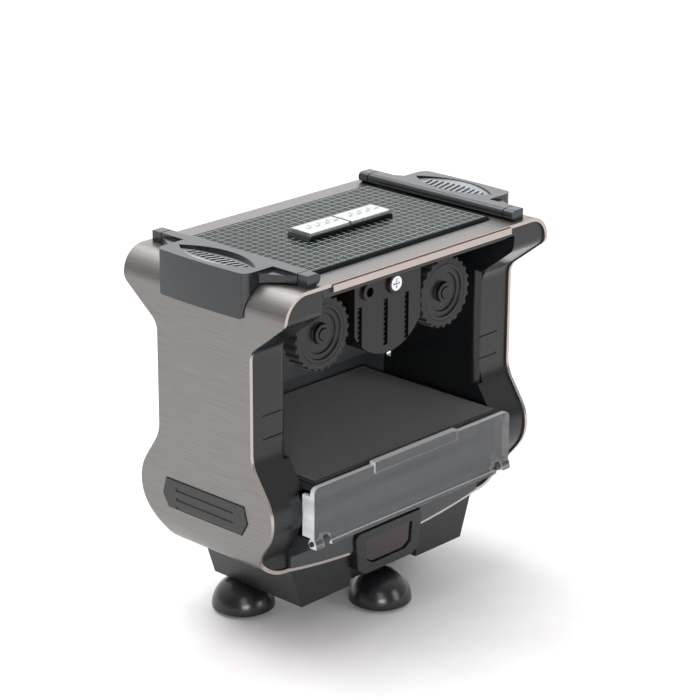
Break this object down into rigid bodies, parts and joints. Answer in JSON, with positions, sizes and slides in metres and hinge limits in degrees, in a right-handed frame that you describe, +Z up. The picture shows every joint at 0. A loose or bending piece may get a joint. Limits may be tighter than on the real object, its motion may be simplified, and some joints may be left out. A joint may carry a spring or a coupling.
{
  "type": "automatic card shuffler",
  "caption": "Countertop playing-card shuffler: steel band round an open card chamber, ribbed feed wheels above, sprung platform, clear swing-down gate, lift-up corner lids.",
  "frame": {"origin": "middle of the footprint at floor level", "axes": "+Z up, -Y out of the open front of the card chamber, +X to the right seen from the front"},
  "size_m": [0.1268, 0.074, 0.1306],
  "materials": {
    "steel_band": "brushed along the depth, bright cut edges",
    "top_deck": "fine matte black",
    "grid_plate": "dark glossy plate with a fine pale grid",
    "badge_plinth": "gloss black",
    "badge_bar": "satin silver plating",
    "side_frame": "satin black moulding",
    "lower_insert": "satin black",
    "lid": "satin slate grey",
    "lid_pins": "ground steel",
    "hinge_blocks": "satin slate grey",
    "battery_cells": "plain wrapped cells",
    "battery_springs": "plated spring wire",
    "battery_contacts": "plated spring strip",
    "rear_wall": "satin black",
    "mechanism_frame": "satin black",
    "motor_pod": "satin dark brown-black",
    "pod_screws": "bright plated",
    "motor": "drawn steel can",
    "motor_pinion": "turned brass",
    "idler_gear": "natural acetal",
    "idler_pins": "ground steel",
    "feed_shaft": "ground steel",
    "feed_hubs": "satin dark grey",
    "feed_tyres": "soft matte rubber",
    "drive_gear": "natural acetal",
    "card_platform": "satin black",
    "platform_pad": "short dark felt",
    "platform_springs": "spring wire",
    "lower_tray": "satin black",
    "clear_gate": "smoky clear plastic",
    "gate_pins": "ground steel",
    "base_shell": "satin black",
    "latch_frame": "satin dark grey",
    "latch_button": "dark red-brown gloss",
    "latch_spring": "spring wire",
    "circuit_board": "green solder mask",
    "board_parts": "moulded black",
    "front_foot": "gloss black",
    "rear_feet": "gloss black",
    "foot_pads": "soft matte rubber",
    "base_screws": "bright plated"
  },
  "bodies": {
    "shell": {"steel_band": "steel_band", "top_deck": "top_deck", "grid_plate": "grid_plate", "badge_plinth": "badge_plinth", "badge_bar_left": "badge_bar", "badge_bar_right": "badge_bar", "side_frame_left": "side_frame", "side_frame_right": "side_frame", "lower_insert_left": "lower_insert", "lower_insert_right": "lower_insert", "lid_pins": "lid_pins", "hinge_blocks": "hinge_blocks", "battery_cells": "battery_cells", "battery_springs": "battery_springs", "battery_contacts": "battery_contacts", "rear_wall": "rear_wall", "mechanism_frame": "mechanism_frame", "motor_pod": "motor_pod", "pod_screws": "pod_screws", "motor": "motor", "idler_pins": "idler_pins", "platform_springs": "platform_springs", "lower_tray": "lower_tray", "gate_pins": "gate_pins", "base_shell": "base_shell", "latch_frame": "latch_frame", "latch_spring": "latch_spring", "circuit_board": "circuit_board", "board_parts": "board_parts", "front_foot": "front_foot", "rear_feet": "rear_feet", "foot_pads": "foot_pads", "base_screws": "base_screws"},
    "lid_left": {"lid_left": "lid"},
    "lid_right": {"lid_right": "lid"},
    "gate": {"clear_gate": "clear_gate"},
    "platform": {"card_platform": "card_platform", "platform_pad": "platform_pad"},
    "wheel_left": {"feed_shaft_left": "feed_shaft", "feed_hubs_left": "feed_hubs", "feed_tyres_left": "feed_tyres", "drive_gear_left": "drive_gear"},
    "wheel_right": {"feed_shaft_right": "feed_shaft", "feed_hubs_right": "feed_hubs", "feed_tyres_right": "feed_tyres", "drive_gear_right": "drive_gear"},
    "idler_left": {"idler_gear_left": "idler_gear"},
    "idler_right": {"idler_gear_right": "idler_gear"},
    "pinion": {"motor_pinion": "motor_pinion"},
    "button": {"latch_button": "latch_button"}
  },
  "joints": [
    {"name": "wheel_left_spin", "type": "hinge", "parent": "shell", "child": "wheel_left", "pos_m": [-0.029, 0, 0.1024], "axis": [0, 1, 0], "continuous": true},
    {"name": "wheel_right_spin", "type": "hinge", "parent": "shell", "child": "wheel_right", "pos_m": [0.029, 0, 0.1024], "axis": [0, 1, 0], "continuous": true},
    {"name": "idler_left_spin", "type": "hinge", "parent": "shell", "child": "idler_left", "pos_m": [-0.01148, 0, 0.1024], "axis": [0, 1, 0], "continuous": true},
    {"name": "idler_right_spin", "type": "hinge", "parent": "shell", "child": "idler_right", "pos_m": [0.01148, 0, 0.1024], "axis": [0, 1, 0], "continuous": true},
    {"name": "pinion_spin", "type": "hinge", "parent": "shell", "child": "pinion", "pos_m": [0, 0, 0.1024], "axis": [0, 1, 0], "continuous": true},
    {"name": "lid_left_hinge", "type": "hinge", "parent": "shell", "child": "lid_left", "pos_m": [-0.0468, 0, 0.12795], "axis": [0, 1, 0], "range_deg": [0, 105]},
    {"name": "lid_right_hinge", "type": "hinge", "parent": "shell", "child": "lid_right", "pos_m": [0.0468, 0, 0.12795], "axis": [0, -1, 0], "range_deg": [0, 105]},
    {"name": "gate_hinge", "type": "hinge", "parent": "shell", "child": "gate", "pos_m": [0, -0.033, 0.0403], "axis": [1, 0, 0], "range_deg": [0, 80]},
    {"name": "platform_slide", "type": "slide", "parent": "shell", "child": "platform", "axis": [0, 0, -1], "range_m": [0, 0.014], "stiffness_N_per_m": 90, "springref_m": -0.01, "deforming": ["platform_springs"]},
    {"name": "button_press", "type": "slide", "parent": "shell", "child": "button", "axis": [0, 1, 0], "range_m": [0, 0.0016], "stiffness_N_per_m": 350, "springref_m": -0.002}
  ],
  "couplings": [
    {"joint": "pinion_spin", "follows": "wheel_left_spin", "ratio": 3},
    {"joint": "idler_left_spin", "follows": "wheel_left_spin", "ratio": -1.0714},
    {"joint": "idler_right_spin", "follows": "wheel_left_spin", "ratio": -1.0714},
    {"joint": "wheel_right_spin", "follows": "wheel_left_spin", "ratio": 1}
  ]
}
